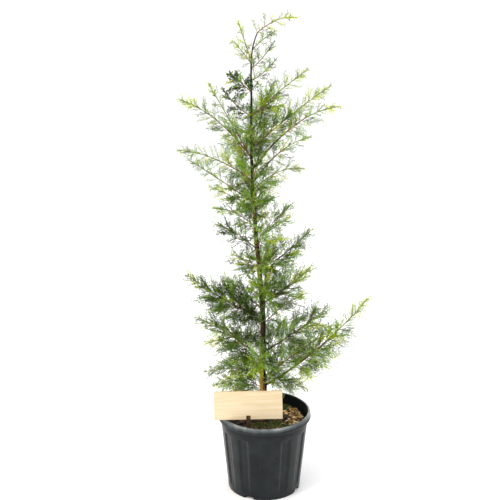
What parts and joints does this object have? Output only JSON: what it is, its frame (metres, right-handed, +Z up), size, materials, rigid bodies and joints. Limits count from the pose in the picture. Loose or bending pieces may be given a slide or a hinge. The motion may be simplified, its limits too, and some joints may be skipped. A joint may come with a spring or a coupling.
{
  "type": "leyland cypress in a nursery pot",
  "caption": "Young leyland cypress with airy plumes of scale foliage on a slim leaning trunk, in a ribbed plastic nursery pot with a blank wooden label board.",
  "frame": {"origin": "middle of the pot's flat underside", "axes": "+Z up the trunk, -Y towards the front with the label board, +X to the right seen from the front"},
  "size_m": [0.4625, 0.3302, 1.1829],
  "materials": {
    "pot": "satin moulded",
    "soil": "rough bark compost",
    "bark": "thin flaking bark",
    "foliage": "matte scale leaves",
    "plywood": "bare",
    "stake": "bare, dark"
  },
  "bodies": {
    "root": {"label_board": "plywood", "label_stake": "stake", "leader_plume": "foliage", "low_back_plume": "foliage", "low_front_plume": "foliage", "low_left_a_plume": "foliage", "low_left_b_bough": "bark", "low_left_b_plume": "foliage", "low_left_c_plume": "foliage", "low_left_d_plume": "foliage", "low_right_a_bough": "bark", "low_right_a_plume": "foliage", "low_right_b_bough": "bark", "low_right_b_plume": "foliage", "low_right_c_plume": "foliage", "low_right_d_plume": "foliage", "lower_back_a_plume": "foliage", "lower_front_a_plume": "foliage", "lower_front_b_plume": "foliage", "lower_front_c_plume": "foliage", "lower_left_a_bough": "bark", "lower_left_a_plume": "foliage", "lower_left_b_plume": "foliage", "lower_left_c_bough": "bark", "lower_left_c_plume": "foliage", "lower_right_a_plume": "foliage", "lower_right_b_plume": "foliage", "lower_right_c_plume": "foliage", "middle_back_a_plume": "foliage", "middle_back_b_plume": "foliage", "middle_back_c_plume": "foliage", "middle_front_a_plume": "foliage", "middle_front_b_plume": "foliage", "middle_left_a_plume": "foliage", "middle_left_b_plume": "foliage", "middle_left_c_plume": "foliage", "middle_left_d_plume": "foliage", "middle_left_e_plume": "foliage", "middle_right_a_bough": "bark", "middle_right_a_plume": "foliage", "middle_right_b_bough": "bark", "middle_right_b_plume": "foliage", "middle_right_c_plume": "foliage", "middle_right_e_bough": "bark", "middle_right_e_plume": "foliage", "pot": "pot", "soil": "soil", "top_left_a_plume": "foliage", "top_left_b_plume": "foliage", "top_right_a_plume": "foliage", "top_right_b_plume": "foliage", "top_right_c_plume": "foliage", "trunk": "bark", "upper_front_plume": "foliage", "upper_left_a_plume": "foliage", "upper_left_b_plume": "foliage", "upper_left_c_plume": "foliage", "upper_right_a_plume": "foliage", "upper_right_b_plume": "foliage", "upper_right_c_plume": "foliage"}
  },
  "joints": []
}
